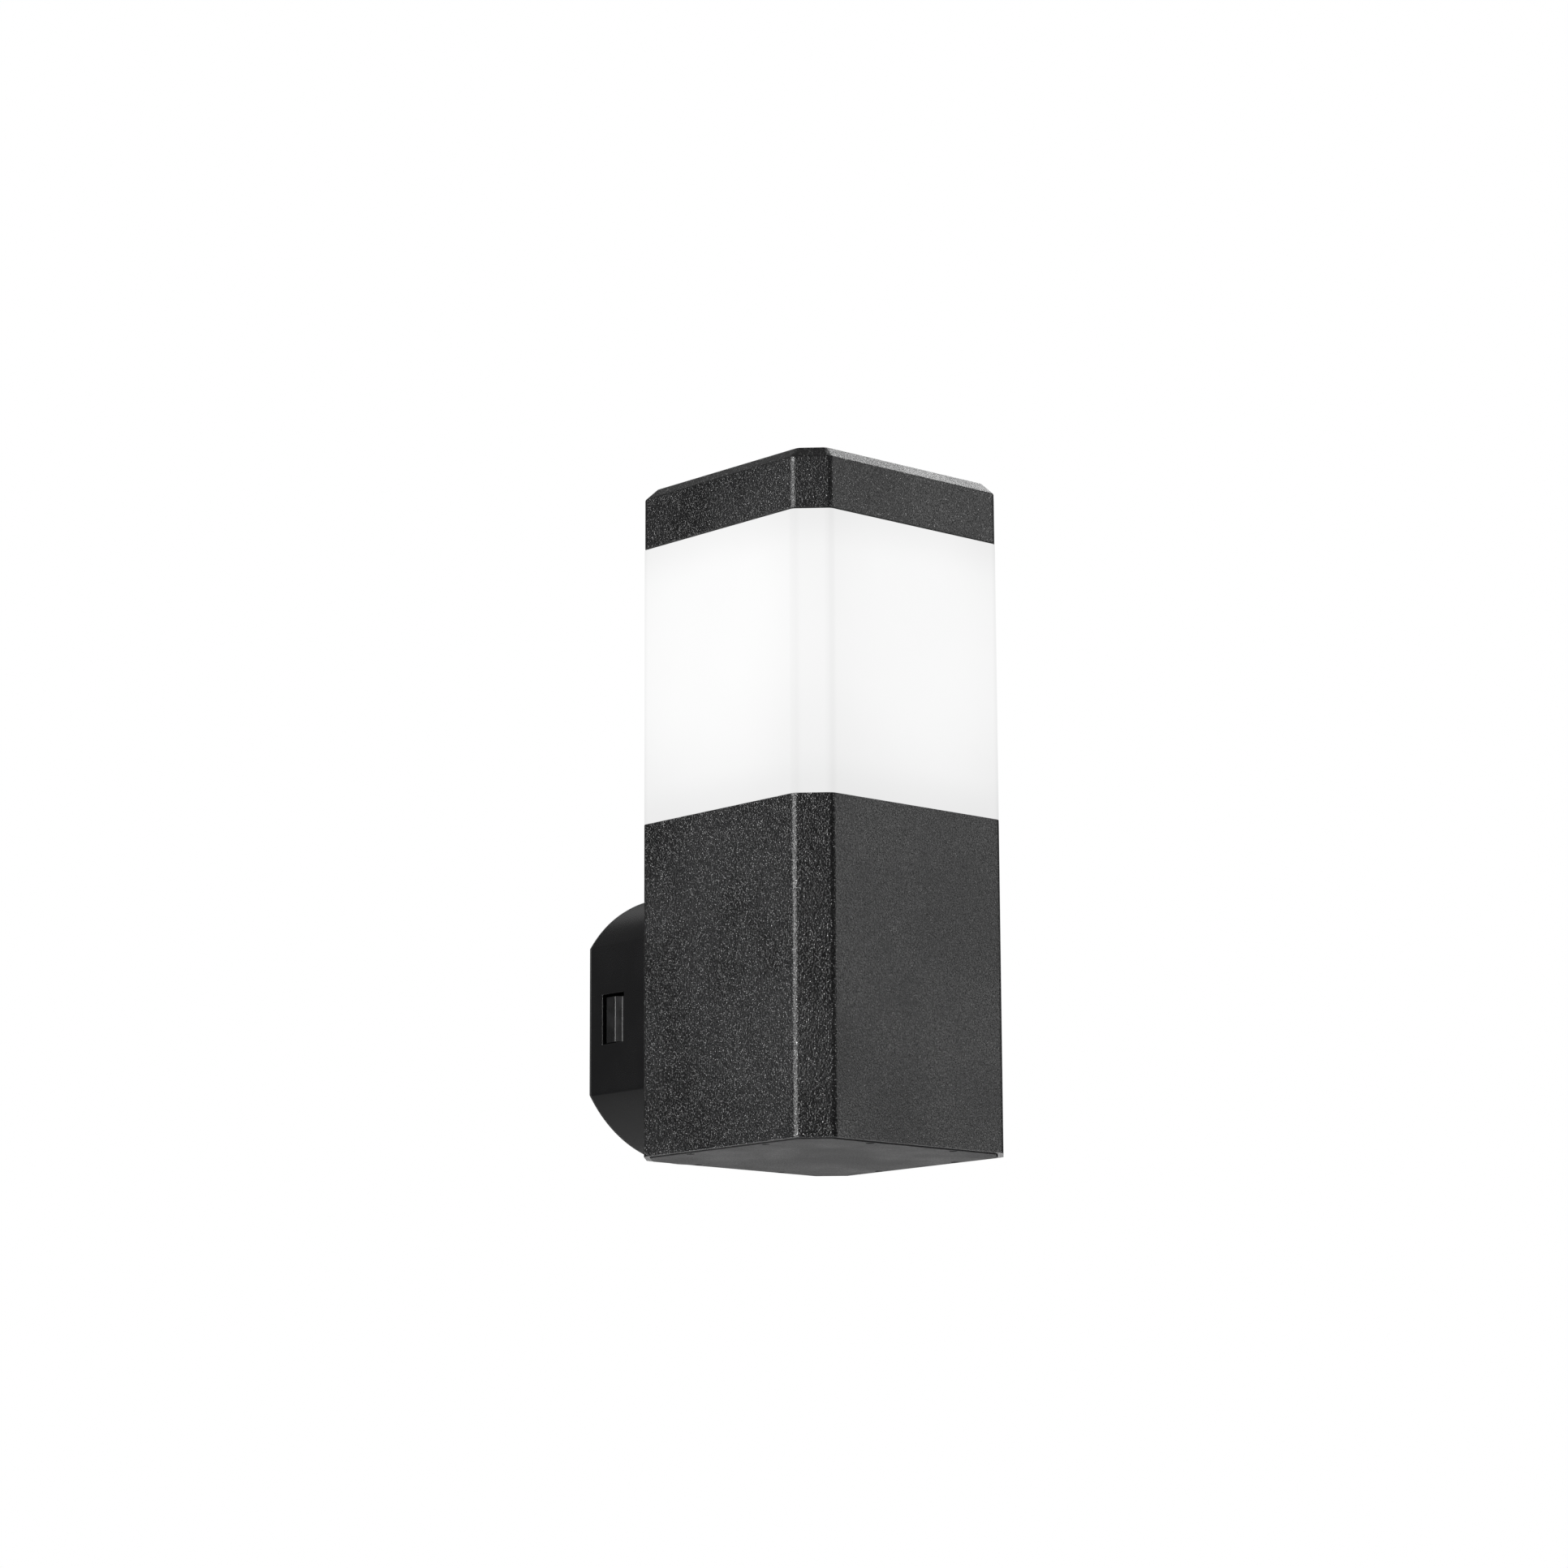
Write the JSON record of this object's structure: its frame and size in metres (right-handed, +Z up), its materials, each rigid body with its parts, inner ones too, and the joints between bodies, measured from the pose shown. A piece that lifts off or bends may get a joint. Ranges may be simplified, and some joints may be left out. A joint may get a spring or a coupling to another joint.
{
  "type": "outdoor wall lantern",
  "caption": "Square wall lantern: a dark metal column with an opal shade and cap on top, held off the wall by a round clip-on base.",
  "frame": {"origin": "centre of the wall base, on the wall plane", "axes": "+X to the right as seen from the front, -Y out from the wall, +Z up"},
  "size_m": [0.1, 0.1314, 0.2455],
  "materials": {
    "powder_coat": "anthracite powder coat, fine metallic fleck",
    "black_plastic": "satin",
    "cover_plastic": "fine grain",
    "opal": "opal, satin",
    "white_paint": "white enamel",
    "zinc_steel": "zinc plated",
    "spring_steel": "bright spring steel",
    "black_rubber": "matt",
    "porcelain": "glazed white",
    "nickel": "nickel plated",
    "brass": "plain",
    "black_glass": "glass black",
    "white_plastic": "smooth white",
    "frosted": "frosted white",
    "led_board": "white solder mask",
    "block_plastic": "natural polyamide",
    "brown_pvc": "brown",
    "blue_pvc": "blue",
    "earth_pvc": "green with a yellow stripe"
  },
  "bodies": {
    "lantern": {"column_body": "powder_coat", "wall_base": "black_plastic", "wall_plate": "black_plastic", "bottom_cover": "cover_plastic", "deck_plate": "white_paint", "deck_screws": "zinc_steel", "clip_rivets": "zinc_steel", "holder_bracket": "zinc_steel", "bracket_screws": "zinc_steel", "bracket_nuts": "zinc_steel", "holder_screws": "zinc_steel", "base_screws": "zinc_steel", "nut_strips": "zinc_steel", "block_screws": "zinc_steel", "earth_screw": "zinc_steel", "terminal_screws": "zinc_steel", "spring_clips": "spring_steel", "skirt_seal": "black_rubber", "base_gasket": "black_rubber", "wall_seal": "black_rubber", "cable_grommet": "black_rubber", "wire_grommet": "black_rubber", "holder_body": "porcelain", "holder_shell": "nickel", "centre_contact": "brass", "terminal_tubes": "brass", "earth_tag": "brass", "terminal_block": "block_plastic", "live_wire": "brown_pvc", "neutral_wire": "blue_pvc", "earth_wire": "earth_pvc"},
    "shade": {"top_cap": "powder_coat", "diffuser": "opal", "cap_gasket": "black_rubber", "cap_screws": "zinc_steel"},
    "lamp_tip": {"lamp_tip": "brass"},
    "lamp": {"lamp_insulator": "black_glass", "lamp_cap": "nickel", "lamp_housing": "white_plastic", "led_board": "led_board", "lamp_globe": "frosted"},
    "latch_left": {"latch_left": "black_plastic"},
    "latch_right": {"latch_right": "black_plastic"}
  },
  "joints": [
    {"name": "shade_lift", "type": "slide", "parent": "lantern", "child": "shade", "axis": [0, 0, 1], "range_m": [0, 0.115]},
    {"name": "lamp_rise", "type": "slide", "parent": "lantern", "child": "lamp_tip", "axis": [0, 0, 1], "range_m": [0, 0.0182]},
    {"name": "lamp_turn", "type": "hinge", "parent": "lamp_tip", "child": "lamp", "pos_m": [0, -0.0814, 0.0513], "axis": [0, 0, 1], "range_deg": [0, 1800]},
    {"name": "latch_left_press", "type": "hinge", "parent": "lantern", "child": "latch_left", "pos_m": [-0.0377, -0.0214, 0], "axis": [0, 0, -1], "range_deg": [0, 8.5], "stiffness_Nm_per_rad": 1.2},
    {"name": "latch_right_press", "type": "hinge", "parent": "lantern", "child": "latch_right", "pos_m": [0.0377, -0.0214, 0], "axis": [0, 0, 1], "range_deg": [0, 8.5], "stiffness_Nm_per_rad": 1.2}
  ],
  "couplings": [
    {"joint": "lamp_rise", "follows": "lamp_turn", "m_per_rad": 0.00057757}
  ]
}
